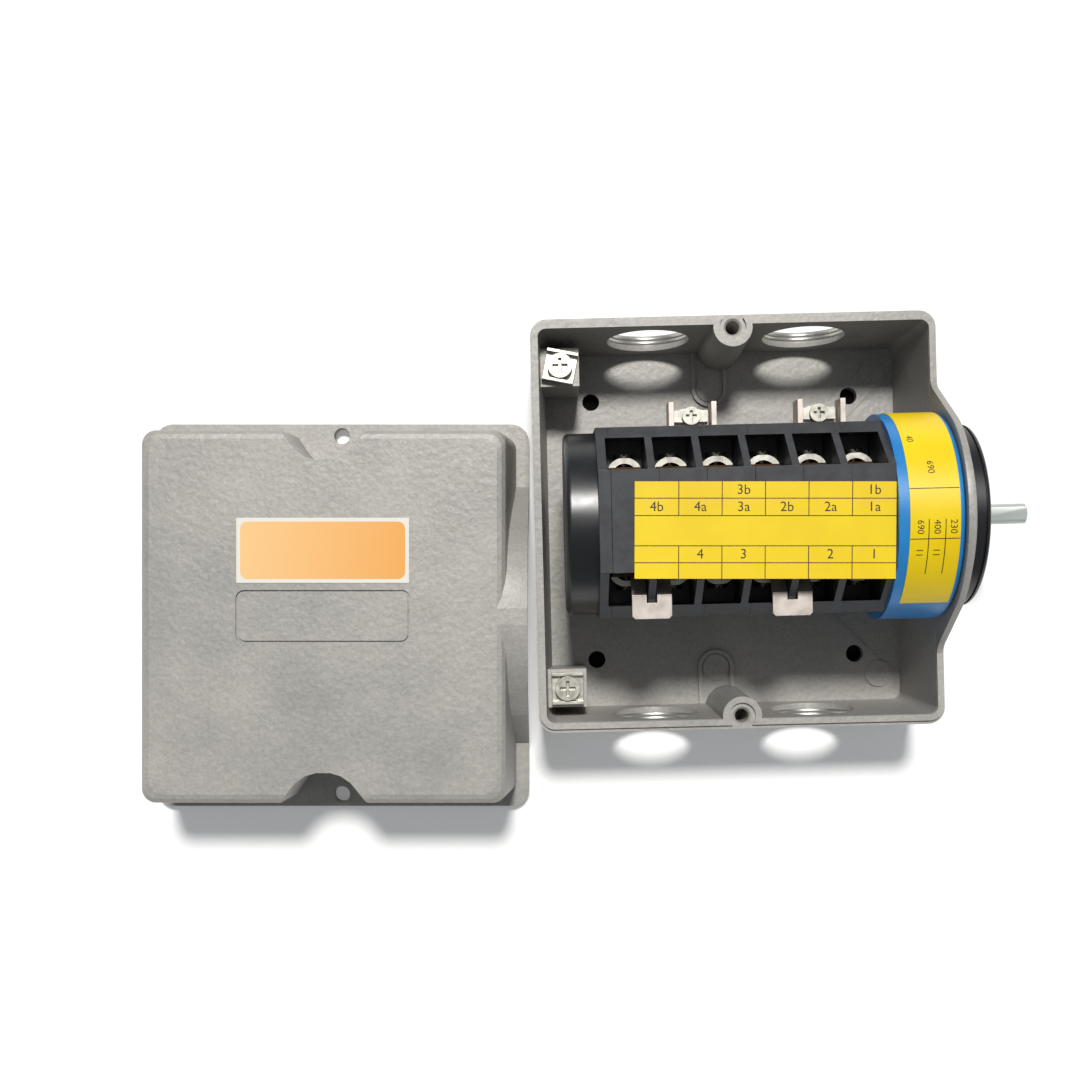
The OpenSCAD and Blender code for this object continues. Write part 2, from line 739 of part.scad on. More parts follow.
module front_ring() color("#1E7CC8") in_switch() difference() {
    union() {
        difference() {
            rounded_rod_x(ring_x, ring_face_x - ring_x, ring_r, ring_round);
            rod_x(ring_x - over, ring_wall_x - ring_x + over, ring_cav_r);
        }
        for (s = [-1, 1]) {
            translate([0, s * tie_y, 0]) rod_x(ring_x, ring_wall_x - ring_x + slack, tie_boss_r);
            for (y = [-1, 1]) guide_block(y, s);
        }
    }
    rod_x(ring_x, ring_face_x, journal_r + run);
    rod_x(disc_x - spigot_len - gap, spigot_len, spigot_r + gap);
    at_neck_screws() rod_x(ring_face_x - neck_screw_reach, neck_screw_reach + over, neck_screw_r + fit);
    for (s = [-1, 1]) translate([0, s * tie_y, 0])
        rod_x(ring_x - over, ring_wall_x - ring_x + over, tie_r + fit);
}

// Wall beside an index roller and its spring, joined to the ring
module guide_block(y, z) mirror([0, y < 0 ? 1 : 0, 0]) mirror([0, 0, z < 0 ? 1 : 0])
    translate([star_x, roller_r + gap, star_r + guide_end])
        cube([ring_wall_x - star_x + slack, guide_t, ring_cav_r - star_r - guide_end]);

module index_rollers() color("#B9B5A8") in_switch() for (s = [-1, 1])
    translate([0, 0, s * (star_r + gap + roller_r)]) rod_x(star_x, star_t, roller_r);

module index_springs() color("#9C9A90") in_switch() for (m = [0, 1]) mirror([0, 0, m])
    translate([star_x + star_t / 2, 0, spring_foot]) difference() {
        cylinder(h = spring_len, r = roller_r);
        translate([0, 0, -over]) cylinder(h = spring_len + 2 * over, r = roller_r - spring_wall);
    }

module ring_label() color("#E9C93A") in_switch() difference() {
    intersection() {
        rod_x(ring_label_x, ring_label_len, ring_r + fit + label_t);
        along_x(ring_label_x - over, ring_label_len + 2 * over) label_sector(2 * ring_r);
    }
    rod_x(ring_label_x - over, ring_label_len + 2 * over, ring_r + fit);
}

// Wedge that the ring label covers, measured from the top towards the near side
module label_sector(r) polygon(concat([[0, 0]],
    [for (i = [0 : 8])
        let(a = ring_label_from_deg + (ring_label_to_deg - ring_label_from_deg) * i / 8)
        [-r * sin(a), r * cos(a)]]));

module front_disc() color("#141517") in_switch() difference() {
    union() {
        rounded_rod_x(disc_x, disc_t, disc_r, disc_round);
        rod_x(disc_x - spigot_len, spigot_len + slack, spigot_r);
    }
    translate([disc_groove_x, 0, 0]) rotate([0, 90, 0]) difference() {
        cylinder(h = disc_groove, r = disc_r + over);
        cylinder(h = disc_groove, r = disc_r - disc_groove);
    }
    rod_x(disc_x - 2 * spigot_len, 2 * spigot_len + 2 * disc_t, journal_r + run);
    rod_x(disc_x - spigot_len - over, seal_w + over, journal_r + seal_depth);
    at_neck_screws() {
        rod_x(disc_x - over, disc_t + 2 * over, neck_screw_r + slack);
        rod_x(disc_x + disc_t - neck_screw_head_h, disc_t, neck_screw_head_r + gap);
    }
}

module disc_screws() color("#B9B6AB") in_switch() at_neck_screws() difference() {
    union() {
        rod_x(disc_x + disc_t - neck_screw_head_h, neck_screw_head_h - slack, neck_screw_head_r);
        rod_x(ring_face_x - neck_screw_reach + gap, disc_x + disc_t - neck_screw_head_h - ring_face_x
              + neck_screw_reach, neck_screw_r);
    }
    translate([disc_x + disc_t - slack, 0, 0]) rotate([0, 90, 0]) cross_recess(neck_screw_head_r);
}

module neck_gasket() color("#2A2A2A") in_switch() difference() {
    rod_x(pad_out_x, gasket_t, disc_r - gap);
    rod_x(pad_out_x - over, gasket_t + 2 * over, spigot_r + gap);
    at_neck_screws() rod_x(pad_out_x - over, gasket_t + 2 * over, neck_screw_r + slack);
}

module shaft_seal() color("#3A3A3A") in_switch() difference() {
    rod_x(disc_x - spigot_len, seal_w - slack, journal_r + seal_depth - fit);
    rod_x(disc_x - spigot_len - over, seal_w + 2 * over, journal_r + run);
}

// Outline of the square shaft with its chamfered edges
module shaft_outline(w) intersection() {
    square(w, center = true);
    rotate(45) square((w - shaft_chamfer) * sqrt(2), center = true);
}

module drive_shaft() color("#C9CBC6") in_switch() difference() {
    union() {
        along_x(hub_back_x, shaft_tip_x - shaft_chamfer - hub_back_x) shaft_outline(shaft_w);
        rod_x(journal_x, disc_x + disc_t - slack - journal_x, journal_r);
        translate([shaft_tip_x - shaft_chamfer - slack, 0, 0]) intersection() {
            along_x(0, shaft_chamfer + slack) shaft_outline(shaft_w);
            rotate([0, 90, 0]) cylinder(h = shaft_chamfer + slack, r1 = shaft_w / sqrt(2),
                                        r2 = shaft_w / 2 - shaft_chamfer / 2);
        }
    }
    rod_x(hub_back_x - over, end_screw_len + over, end_screw_r + fit);
}

module end_washer() color("#B9B6AB") in_switch() difference() {
    rod_x(hub_back_x - washer_t, washer_t, washer_r);
    rod_x(hub_back_x - washer_t - over, washer_t + 2 * over, end_screw_r + fit);
}

module end_screw() color("#B9B6AB") in_switch() difference() {
    union() {
        rod_x(hub_back_x - washer_t - end_head_h, end_head_h, end_head_r);
        rod_x(hub_back_x - washer_t - slack, end_screw_len, end_screw_r);
    }
    translate([hub_back_x - washer_t - end_head_h, 0, 0]) rotate([0, -90, 0]) cross_recess(end_head_r);
}

// Radius of a cam at an angle: it rises evenly over a throw to each side and dwells between
function cam_radius(a) = cam_r + cam_lift * max(-1, min(1, (90 - abs(a - 180)) / throw_deg));

module cam(k) color("#C9C2A8") in_switch() {
    start = k == 0 ? hub_back_x : stage_x + k * stage_pitch;
    end = k == copies - 1 ? star_x : stage_x + (k + 1) * stage_pitch;
    difference() {
        union() {
            rod_x(start, end - start, hub_r);
            along_x(window_mid(k) - cam_t / 2, cam_t) polygon([for (i = [0 : cam_steps - 1])
                let(a = i * 360 / cam_steps) cam_radius(a) * [cos(a), sin(a)]]);
        }
        along_x(start - over, end - start + 2 * over) square(shaft_w + 2 * fit, center = true);
    }
}

module index_star() color("#D8D2BC") in_switch() difference() {
    union() {
        along_x(star_x, star_t) polygon([for (i = [0 : cam_steps - 1]) let(a = i * 360 / cam_steps)
            (star_r - star_notch * (1 + cos(star_notches * a)) / 2) * [cos(a), sin(a)]]);
        rod_x(star_x, journal_x - star_x, hub_r);
    }
    along_x(star_x - over, ring_face_x) square(shaft_w + 2 * fit, center = true);
}

module plungers(flip) color("#B5452E") in_switch() mirror([0, 0, flip]) for (k = [0 : copies - 1])
    translate([window_mid(k) - window_len / 2 + gap, 0, 0]) {
        rod_z_nose();
        translate([0, -plunger_half_w, nose_z])
            cube([window_len - 2 * gap, 2 * plunger_half_w, bridge_z - nose_z]);
    }

// Round nose that rides on a cam
module rod_z_nose() translate([0, 0, nose_z]) rod_x(0, window_len - 2 * gap, nose_r);

module bridges(flip) color("#C08A54") in_switch() mirror([0, 0, flip]) for (k = [0 : copies - 1])
    translate([window_mid(k), 0, 0]) {
        translate([-bridge_w / 2, -bridge_half, bridge_z]) cube([bridge_w, 2 * bridge_half, bridge_t]);
        for (s = [-1, 1]) translate([0, s * tip_y, bridge_tip_z]) cylinder(h = tip_h + slack, r = tip_r);
    }

module springs(flip) color("#9C9A90") in_switch() mirror([0, 0, flip]) for (k = [0 : copies - 1])
    translate([window_mid(k), 0, bridge_z + bridge_t]) difference() {
        cylinder(h = stage_half_h - roof_t - bridge_z - bridge_t, r = spring_r);
        translate([0, 0, -over]) cylinder(h = stage_half_h, r = spring_r - spring_wall);
    }

// Outline of a screw notch in the cover's side, an S on each shoulder
module notch_outline(y) polygon(concat(
    [for (i = [1 - len(notch_shares) : 0]) let(p = notch_shares[-i])
        [-notch_half_w * p.x, y - notch_depth * p.y]],
    [for (p = notch_shares) [notch_half_w * p.x, y - notch_depth * p.y]],
    [[notch_half_w, y + notch_depth], [-notch_half_w, y + notch_depth]]));

// Outside of the cover's body above the flange
module cover_body(grow, top) {
    bx = box_len / 2 - flange_w + grow;
    by = box_wid / 2 - flange_w + grow;
    turn = cover_round + grow;
    hull() {
        slab(bx, by, cover_body_r + grow, 0, flange_t);
        for (a = [0 : 30 : 90])
            slab(bx - cover_draft - turn * (1 - cos(a)), by - cover_draft - turn * (1 - cos(a)),
                 cover_body_r + grow, top - turn + turn * sin(a) - slack, slack);
    }
}

module cover_shell() color("#A9A69E") in_cover() difference() {
    union() {
        slab(box_len / 2, box_wid / 2, flange_r, 0, flange_t);
        difference() {
            cover_body(0, cover_h);
            for (n = [0, 1]) mirror([0, n, 0]) translate([0, 0, flange_t]) linear_extrude(cover_h)
                notch_outline(box_wid / 2 - flange_w);
        }
        intersection() {
            along_x(arch_start, box_len / 2 - arch_start)
                arch_outline(arch_r + saddle_over, closed_arch_z, 0);
            slab(box_len / 2, box_wid / 2, flange_r, 0, cover_h);
        }
    }
    difference() {
        translate([0, 0, -over]) cover_body(-cover_wall_t, cover_h - cover_top_t + over);
        for (n = [0, 1]) mirror([0, n, 0]) translate([0, 0, -2 * over]) linear_extrude(cover_h)
            notch_outline(box_wid / 2 - flange_w - cover_wall_t);
        translate([0, 0, -2 * over]) at_bosses() cylinder(h = cover_h, r = boss_r);
    }
    along_x(cav_half_x - arch_depth, box_len) arch_outline(arch_r + arch_clear, closed_arch_z, -over);
    translate([0, 0, -over]) at_bosses() cylinder(h = flange_t + 2 * over, r = cover_screw_r + 2 * gap);
    translate([0, 0, -over]) linear_extrude(seal_t + over) seal_outline(0);
    translate([0, 0, cover_h - plate_depth]) linear_extrude(over + plate_depth) difference() {
        round_rect(plate_len / 2, plate_wid / 2, plate_r);
        round_rect(plate_len / 2 - plate_rim, plate_wid / 2 - plate_rim, plate_r - plate_rim / 2);
    }
}

// Groove in the cover's flange that lies over the box's lip
module seal_outline(shrink) difference() {
    round_rect(cav_half_x - slack - shrink, cav_half_y + lip_w + gap - shrink, cav_r + lip_w);
    round_rect(cav_half_x - slack - seal_groove + shrink, cav_half_y - gap + shrink, cav_r);
    at_bosses() circle(boss_r + over);
    translate([arch_start, -entry_x - pad_r]) square([box_len, 2 * (entry_x + pad_r)]);
}

module cover_gasket() color("#2A2A2A") in_cover() translate([0, 0, gap]) linear_extrude(seal_t - gap)
    seal_outline(fit);

module cover_label() color("#F0A443") in_cover() translate([0, rating_y, cover_h])
    linear_extrude(label_t) square([rating_len, rating_wid], center = true);

base_box();
earth_screws();
earth_saddles();
front_disc();
disc_screws();
neck_gasket();
shaft_seal();
front_ring();
ring_label();
index_rollers();
index_springs();
for (k = [0 : copies - 1]) stage(k);
end_plate();
rear_cap();
tie_screws();
terminal_label();
fixed_contacts(0);  // top_fixed_contacts
fixed_contacts(1);  // bottom_fixed_contacts
terminal_screws(0);  // top_terminal_screws
terminal_screws(1);  // bottom_terminal_screws
terminal_saddles(0);  // top_terminal_saddles
terminal_saddles(1);  // bottom_terminal_saddles
link_clips();
link_brackets();
bracket_screws();
bracket_saddles();
drive_shaft();
index_star();
end_washer();
end_screw();
for (k = [0 : copies - 1]) cam(k);
plungers(0);  // top_plungers
bridges(0);  // top_bridges
springs(0);  // top_springs
plungers(1);  // bottom_plungers
bridges(1);  // bottom_bridges
springs(1);  // bottom_springs
cover_shell();
cover_gasket();
cover_label();
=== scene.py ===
import bpy
import bmesh
import math
from mathutils import Matrix, Vector


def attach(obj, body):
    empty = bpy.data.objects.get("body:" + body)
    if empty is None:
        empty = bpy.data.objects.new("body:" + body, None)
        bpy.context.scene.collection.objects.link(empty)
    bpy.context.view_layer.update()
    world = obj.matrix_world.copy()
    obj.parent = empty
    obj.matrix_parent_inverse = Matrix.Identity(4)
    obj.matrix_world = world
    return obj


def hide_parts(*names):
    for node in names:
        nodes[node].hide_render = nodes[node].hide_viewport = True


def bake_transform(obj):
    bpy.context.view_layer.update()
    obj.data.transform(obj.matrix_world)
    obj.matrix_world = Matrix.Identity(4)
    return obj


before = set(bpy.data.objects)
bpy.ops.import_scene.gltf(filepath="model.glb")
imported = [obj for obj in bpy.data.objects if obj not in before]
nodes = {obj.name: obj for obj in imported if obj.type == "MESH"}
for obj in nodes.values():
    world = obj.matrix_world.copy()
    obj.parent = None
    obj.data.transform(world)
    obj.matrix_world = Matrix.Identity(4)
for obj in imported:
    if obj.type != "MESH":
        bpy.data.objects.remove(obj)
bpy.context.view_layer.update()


# The phone camera that looks straight down on the open box and the cover beside it. The box lies
# turned by 1.4 degrees in the picture, and the picture was cut so that its middle is off the lens axis.
mm = 0.001
scene = bpy.context.scene
photo_turn = math.radians(-1.4)
camera = bpy.data.objects.new("camera", bpy.data.cameras.new("camera"))
camera.data.sensor_width = 36
camera.data.lens = 43.9
photo_width = 1080
camera.data.shift_x = -10 / photo_width
camera.data.shift_y = 60 / photo_width
camera.data.clip_start = 0.01
camera.location = (-67.7 * mm, -26.4 * mm, 516 * mm)
camera.rotation_euler = (0, 0, photo_turn)
scene.collection.objects.link(camera)
scene.camera = camera
scene.view_settings.view_transform = "Standard"


# The white sheet that the box and its cover lie on. It is lit like the rest, and what the camera sees
# of it is lifted to white, so that only the shadow under the metal's near edges stays. Under the box,
# where it shows through the fixing holes, the sheet is painted near black: painted shade for the box's
# shadow.
def linear(colour):
    parts = [int(colour[i:i + 2], 16) / 255 for i in (1, 3, 5)]
    return [p / 12.92 if p <= 0.04045 else ((p + 0.055) / 1.055) ** 2.4 for p in parts] + [1.0]


def add(tree, kind, links, **settings):
    node = tree.nodes.new("ShaderNode" + kind)
    for name, value in settings.items():
        setattr(node, name, value)
    for socket, value in links.items():
        if isinstance(value, bpy.types.NodeSocket):
            tree.links.new(value, node.inputs[socket])
        else:
            node.inputs[socket].default_value = value
    return node


def piece(name, mesh):
    obj = bpy.data.objects.new(name, mesh)
    scene.collection.objects.link(obj)
    return obj


paper_with_painted_shade = bpy.data.materials.new("paper_with_painted_shade")
paper_with_painted_shade.use_nodes = True
tree = paper_with_painted_shade.node_tree
tree.nodes.clear()
rays = add(tree, "LightPath", {})
seen = add(tree, "Math", {0: rays.outputs["Is Camera Ray"], 1: rays.outputs["Is Glossy Ray"]},
           operation="MAXIMUM")
seen = add(tree, "Math", {0: seen.outputs[0], 1: rays.outputs["Is Transmission Ray"]},
           operation="MAXIMUM")
place = add(tree, "SeparateXYZ", {"Vector": add(tree, "TexCoord", {}).outputs["Object"]})
under_box = 66
sides = [add(tree, "Math", {0: place.outputs[axis]}, operation="ABSOLUTE") for axis in "XY"]
reach = add(tree, "Math", {0: sides[0].outputs[0], 1: sides[1].outputs[0]}, operation="MAXIMUM")
# Painted shade: inside the box's footprint the sheet gets no lift to white.
beyond_painted_shade = add(tree, "Math", {0: reach.outputs[0], 1: under_box * mm},
                operation="GREATER_THAN")
seen = add(tree, "Math", {0: seen.outputs[0], 1: beyond_painted_shade.outputs[0]}, operation="MULTIPLY")
white_lift = 0.16
lift = add(tree, "Math", {0: seen.outputs[0], 1: white_lift}, operation="MULTIPLY")
# Painted shade: the sheet is near black inside the box's footprint and pale outside it.
tint = add(tree, "ValToRGB", {"Fac": beyond_painted_shade.outputs[0]})
tint.color_ramp.elements[0].color = linear("#1C1B1A")
tint.color_ramp.elements[1].color = linear("#F2F2F2")
paper = add(tree, "BsdfDiffuse", {"Color": tint.outputs["Color"]})
glow = add(tree, "Emission", {"Color": linear("#FFFFFF"), "Strength": lift.outputs[0]})
both = add(tree, "AddShader", {0: paper.outputs[0], 1: glow.outputs[0]})
add(tree, "OutputMaterial", {"Surface": both.outputs[0]})
floor_half, floor_drop = 3, 0.3
mesh = bpy.data.meshes.new("floor")
shape = bmesh.new()
bmesh.ops.create_grid(shape, x_segments=1, y_segments=1, size=floor_half)
bmesh.ops.translate(shape, verts=shape.verts, vec=(0, 0, -floor_drop * mm))
shape.to_mesh(mesh)
shape.free()
floor = piece("floor", mesh)
mesh.materials.append(paper_with_painted_shade)


# The room's light: a lamp or window high on the far side, small enough to throw the cable entries'
# soft spots of light on the box's floor, and an even light from a pale room.
window = bpy.data.objects.new("window", bpy.data.lights.new("window", "SUN"))
window.data.energy = 3.0
window.data.angle = math.radians(9)
window.data.color = (1.0, 0.985, 0.96)
window.rotation_euler = (math.radians(-26), 0, photo_turn)
scene.collection.objects.link(window)
room = bpy.data.worlds.new("room")
room.use_nodes = True
room.node_tree.nodes["Background"].inputs["Color"].default_value = (0.9, 0.95, 1.0, 1.0)
room.node_tree.nodes["Background"].inputs["Strength"].default_value = 0.24
scene.world = room


# Base box and cover: die-cast aluminium under a grey structured paint. The paint gives a fine orange
# peel, a soft sheen, and slightly paler and darker clouds where it went on thicker.
def soften(obj, width, segments=2, angle=35):
    weld = obj.modifiers.new("weld", "WELD")
    weld.merge_threshold = 1e-5
    flat = obj.modifiers.new("flat", "DECIMATE")
    flat.decimate_type = "DISSOLVE"
    flat.angle_limit = math.radians(0.5)
    edge = obj.modifiers.new("edge", "BEVEL")
    edge.width = width
    edge.segments = segments
    edge.limit_method = "ANGLE"
    edge.angle_limit = math.radians(angle)
    edge.harden_normals = True


def paint(obj, material):
    obj.data.materials.clear()
    obj.data.materials.append(material)


structured_paint = bpy.data.materials.new("structured_paint")
structured_paint.use_nodes = True
tree = structured_paint.node_tree
shader = tree.nodes["Principled BSDF"]
place = add(tree, "TexCoord", {}).outputs["Object"]
clouds = add(tree, "TexNoise", {"Vector": place, "Scale": 22, "Detail": 4, "Roughness": 0.6})
tone = add(tree, "ValToRGB", {"Fac": clouds.outputs["Fac"]})
tone.color_ramp.elements[0].position = 0.3
tone.color_ramp.elements[0].color = linear("#9C9A95")
tone.color_ramp.elements[1].position = 0.72
tone.color_ramp.elements[1].color = linear("#B3AFA9")
specks = add(tree, "TexNoise", {"Vector": place, "Scale": 900, "Detail": 2, "Roughness": 0.6})
fleck = add(tree, "MapRange", {"Value": specks.outputs["Fac"], "From Min": 0.3, "From Max": 0.7,
                               "To Min": 0.88, "To Max": 1.08})
tinted = add(tree, "VectorMath", {0: tone.outputs["Color"], 1: fleck.outputs["Result"]},
             operation="MULTIPLY")
tree.links.new(tinted.outputs["Vector"], shader.inputs["Base Color"])
shader.inputs["Metallic"].default_value = 0.12
shader.inputs["IOR"].default_value = 1.5
sheen = add(tree, "MapRange", {"Value": clouds.outputs["Fac"], "From Min": 0.3, "From Max": 0.7,
                               "To Min": 0.42, "To Max": 0.54})
tree.links.new(sheen.outputs["Result"], shader.inputs["Roughness"])
peel = add(tree, "TexNoise", {"Vector": place, "Scale": 430, "Detail": 3, "Roughness": 0.5})
swell = add(tree, "TexNoise", {"Vector": place, "Scale": 75, "Detail": 2})
height = add(tree, "Math", {0: peel.outputs["Fac"], 1: swell.outputs["Fac"]}, operation="ADD")
bump = add(tree, "Bump", {"Height": height.outputs[0], "Strength": 0.8, "Distance": 0.24 * mm})
tree.links.new(bump.outputs["Normal"], shader.inputs["Normal"])
for name, width in (("base_box", 0.45), ("cover_shell", 0.7)):
    soften(nodes[name], width * mm, 3, 40)
    paint(nodes[name], structured_paint)


# Threads in the four cable entries, cut into the bare wall with an M32 tap of 1.5 mm pitch. The crests
# catch the light as thin rings.
bare_casting = bpy.data.materials.new("machined_aluminium")
bare_casting.use_nodes = True
tree = bare_casting.node_tree
shader = tree.nodes["Principled BSDF"]
place = add(tree, "TexCoord", {}).outputs["Object"]
marks = add(tree, "TexNoise", {"Vector": place, "Scale": 700, "Detail": 2})
dull = add(tree, "MapRange", {"Value": marks.outputs["Fac"], "To Min": 0.28, "To Max": 0.5})
tree.links.new(dull.outputs["Result"], shader.inputs["Roughness"])
shader.inputs["Base Color"].default_value = linear("#C6C4BD")
shader.inputs["Metallic"].default_value = 0.9
entry_r, entry_x, entry_z = 15.2, 29, 25
thread_pitch, thread_h, thread_from, thread_turns, thread_steps = 1.5, 0.45, 70.6, 2, 64
mesh = bpy.data.meshes.new("entry_threads")
shape = bmesh.new()
for side in (-1, 1):
    for x in (-entry_x, entry_x):
        for turn in range(thread_turns):
            start = thread_from + turn * thread_pitch
            bm = bmesh.new()
            line = [bm.verts.new((entry_r * mm, y * mm, 0)) for y in (start, start + thread_pitch)]
            crest = ((entry_r - thread_h) * mm, (start + thread_pitch / 2) * mm, 0)
            line.insert(1, bm.verts.new(crest))
            edges = [bm.edges.new(pair) for pair in zip(line, line[1:])]
            bmesh.ops.spin(bm, geom=line + edges, cent=(0, 0, 0), axis=(0, 1, 0), angle=math.tau,
                           steps=thread_steps, use_merge=True)
            bmesh.ops.transform(bm, verts=bm.verts, matrix=Matrix.Diagonal((1, side, 1, 1)))
            bmesh.ops.translate(bm, verts=bm.verts, vec=(x * mm, 0, entry_z * mm))
            part = bpy.data.meshes.new("part")
            bm.to_mesh(part)
            bm.free()
            shape.from_mesh(part)
            bpy.data.meshes.remove(part)
for face in shape.faces:
    out = face.calc_center_median()
    axis = Vector((entry_x * mm if out.x > 0 else -entry_x * mm, out.y, entry_z * mm))
    if face.normal.dot(axis - out) < 0:
        face.normal_flip()
shape.to_mesh(mesh)
shape.free()
mesh.shade_smooth()
threads = piece("entry_threads", mesh)
paint(threads, bare_casting)
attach(threads, "base")


# The six stages and the end plate: black glass-filled nylon, moulded in rough tools. It is matt, with
# grey scuffs and dust that lift the black towards grey.
black_nylon = bpy.data.materials.new("moulded_nylon")
black_nylon.use_nodes = True
tree = black_nylon.node_tree
shader = tree.nodes["Principled BSDF"]
place = add(tree, "TexCoord", {}).outputs["Object"]
dust = add(tree, "TexNoise", {"Vector": place, "Scale": 160, "Detail": 5, "Roughness": 0.65})
tone = add(tree, "ValToRGB", {"Fac": dust.outputs["Fac"]})
tone.color_ramp.elements[0].position = 0.38
tone.color_ramp.elements[0].color = linear("#232428")
tone.color_ramp.elements[1].position = 0.8
tone.color_ramp.elements[1].color = linear("#3F4146")
tree.links.new(tone.outputs["Color"], shader.inputs["Base Color"])
shader.inputs["IOR"].default_value = 1.53
dull = add(tree, "MapRange", {"Value": dust.outputs["Fac"], "To Min": 0.38, "To Max": 0.62})
tree.links.new(dull.outputs["Result"], shader.inputs["Roughness"])
grain = add(tree, "TexNoise", {"Vector": place, "Scale": 1500, "Detail": 2})
bump = add(tree, "Bump", {"Height": grain.outputs["Fac"], "Strength": 0.25, "Distance": 0.05 * mm})
tree.links.new(bump.outputs["Normal"], shader.inputs["Normal"])
for name in ["stage_%d" % k for k in range(1, 7)] + ["end_plate"]:
    soften(nodes[name], 0.25 * mm)
    paint(nodes[name], black_nylon)


# Rear cap and front disc: glossy black phenolic pressed in polished tools, so they hold a sharp
# highlight along the rounded rim.
black_phenolic = bpy.data.materials.new("pressed_phenolic")
black_phenolic.use_nodes = True
tree = black_phenolic.node_tree
shader = tree.nodes["Principled BSDF"]
place = add(tree, "TexCoord", {}).outputs["Object"]
haze = add(tree, "TexNoise", {"Vector": place, "Scale": 120, "Detail": 4})
dull = add(tree, "MapRange", {"Value": haze.outputs["Fac"], "To Min": 0.24, "To Max": 0.42})
tree.links.new(dull.outputs["Result"], shader.inputs["Roughness"])
shader.inputs["Base Color"].default_value = linear("#16171A")
shader.inputs["IOR"].default_value = 1.58
for name in ("rear_cap", "front_disc"):
    paint(nodes[name], black_phenolic)


# Front ring: bright blue nylon, moulded to hold the index mechanism and screwed to the neck's wall. Its
# satin face gives a broad, soft highlight.
blue_nylon = bpy.data.materials.new("satin_nylon")
blue_nylon.use_nodes = True
tree = blue_nylon.node_tree
shader = tree.nodes["Principled BSDF"]
place = add(tree, "TexCoord", {}).outputs["Object"]
flow = add(tree, "TexNoise", {"Vector": place, "Scale": 60, "Detail": 3})
tone = add(tree, "ValToRGB", {"Fac": flow.outputs["Fac"]})
tone.color_ramp.elements[0].position = 0.3
tone.color_ramp.elements[0].color = linear("#1F78BE")
tone.color_ramp.elements[1].position = 0.7
tone.color_ramp.elements[1].color = linear("#2B8FD6")
tree.links.new(tone.outputs["Color"], shader.inputs["Base Color"])
shader.inputs["IOR"].default_value = 1.53
shader.inputs["Roughness"].default_value = 0.36
paint(nodes["front_ring"], blue_nylon)


# Terminal label and ring label: yellow vinyl film with a faint gloss, printed with dark rules and the
# terminals' plain numbers.
yellow_vinyl = bpy.data.materials.new("yellow_vinyl")
yellow_vinyl.use_nodes = True
tree = yellow_vinyl.node_tree
shader = tree.nodes["Principled BSDF"]
place = add(tree, "TexCoord", {}).outputs["Object"]
fade = add(tree, "TexNoise", {"Vector": place, "Scale": 45, "Detail": 3})
tone = add(tree, "ValToRGB", {"Fac": fade.outputs["Fac"]})
tone.color_ramp.elements[0].position = 0.3
tone.color_ramp.elements[0].color = linear("#EDC900")
tone.color_ramp.elements[1].position = 0.7
tone.color_ramp.elements[1].color = linear("#F6D600")
tree.links.new(tone.outputs["Color"], shader.inputs["Base Color"])
shader.inputs["Roughness"].default_value = 0.42
for name in ("terminal_label", "ring_label"):
    paint(nodes[name], yellow_vinyl)
label_ink = bpy.data.materials.new("label_ink")
label_ink.use_nodes = True
shader = label_ink.node_tree.nodes["Principled BSDF"]
shader.inputs["Base Color"].default_value = linear("#2E2716")
shader.inputs["Roughness"].default_value = 0.55

switch_roll, shaft_z = 2, 51
in_switch = Matrix.Translation((0, 0, shaft_z * mm)) @ Matrix.Rotation(math.radians(switch_roll), 4, "X")
label_x, label_y, label_top, label_turn = 3.5, -4.05, 33.25, -1.4
ink_t, number_size = 0.02, 4.6
columns = [-42.9, -28.45, -14.25, -0.05, 14.2, 28.5, 42.9]
rows = [15.95, 10.45, 4.75, -5.15, -10.7, -15.95]
rule = 0.3


def add_bar(bm, x0, x1, y0, y1, at):
    made = bmesh.ops.create_grid(bm, x_segments=1, y_segments=1, size=0.5)["verts"]
    bmesh.ops.scale(bm, vec=((x1 - x0) * mm, (y1 - y0) * mm, 1), verts=made)
    bmesh.ops.translate(bm, vec=((x0 + x1) / 2 * mm, (y0 + y1) / 2 * mm, 0), verts=made)
    bmesh.ops.transform(bm, matrix=at, verts=made)


def add_text(bm, words, size, at):
    curve = bpy.data.curves.new("words", "FONT")
    curve.body = words
    curve.size = size * mm
    curve.align_x = "CENTER"
    curve.align_y = "CENTER"
    curve.resolution_u = 3
    obj = piece("words", curve)
    flat = bpy.data.meshes.new_from_object(obj)
    flat.transform(at)
    bm.from_mesh(flat)
    bpy.data.objects.remove(obj)
    bpy.data.curves.remove(curve)
    bpy.data.meshes.remove(flat)


label_at = in_switch @ Matrix.Translation((label_x * mm, label_y * mm, (label_top + ink_t) * mm))
label_at = label_at @ Matrix.Rotation(math.radians(label_turn), 4, "Z")
bm = bmesh.new()
for y in rows[1:5]:
    add_bar(bm, columns[0], columns[-1], y - rule / 2, y + rule / 2, label_at)
for x in columns[1:6]:
    add_bar(bm, x - rule / 2, x + rule / 2, rows[2], rows[0], label_at)
    add_bar(bm, x - rule / 2, x + rule / 2, rows[5], rows[3], label_at)
numbers = [(2, 0, "3b"), (5, 0, "1b"), (0, 1, "4b"), (1, 1, "4a"), (2, 1, "3a"), (3, 1, "2b"),
           (4, 1, "2a"), (5, 1, "1a"), (1, 3, "4"), (2, 3, "3"), (4, 3, "2"), (5, 3, "1")]
for column, row, words in numbers:
    x = (columns[column] + columns[column + 1]) / 2
    y = (rows[row] + rows[row + 1]) / 2
    add_text(bm, words, number_size, label_at @ Matrix.Translation((x * mm, y * mm, 0)))
mesh = bpy.data.meshes.new("terminal_print")
bm.to_mesh(mesh)
bm.free()
terminal_print = piece("terminal_print", mesh)
paint(terminal_print, label_ink)
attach(terminal_print, "base")


